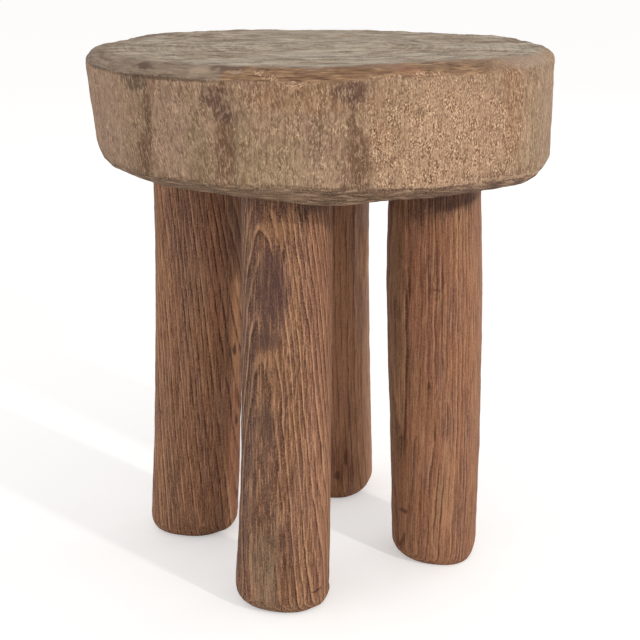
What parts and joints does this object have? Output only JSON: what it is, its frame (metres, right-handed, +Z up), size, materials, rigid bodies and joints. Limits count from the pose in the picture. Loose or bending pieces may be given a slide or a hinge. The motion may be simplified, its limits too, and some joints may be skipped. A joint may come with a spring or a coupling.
{
  "type": "milking stool",
  "caption": "Hand-hewn wooden milking stool: a thick round slab seat on stout shaved posts held by wedged blind tenons.",
  "frame": {"origin": "on the floor under the centre of the seat", "axes": "+Z up; the posts stand near 45 degrees between the X and Y axes, and -Y is towards the side with the deepest furrows"},
  "size_m": [0.3862, 0.384, 0.45],
  "materials": {
    "seat_wood": "hand-hewn, weathered grey-brown hardwood, dull waxed, with worn edges",
    "leg_wood": "shaved reddish-brown hardwood with long open grain, dull waxed",
    "wedge_wood": "split pale hardwood, bare"
  },
  "bodies": {
    "root": {"seat": "seat_wood", "leg_front_left": "leg_wood", "leg_front_right": "leg_wood", "leg_back_right": "leg_wood", "leg_back_left": "leg_wood", "wedge_front_left": "wedge_wood", "wedge_front_right": "wedge_wood", "wedge_back_right": "wedge_wood", "wedge_back_left": "wedge_wood"}
  },
  "joints": []
}
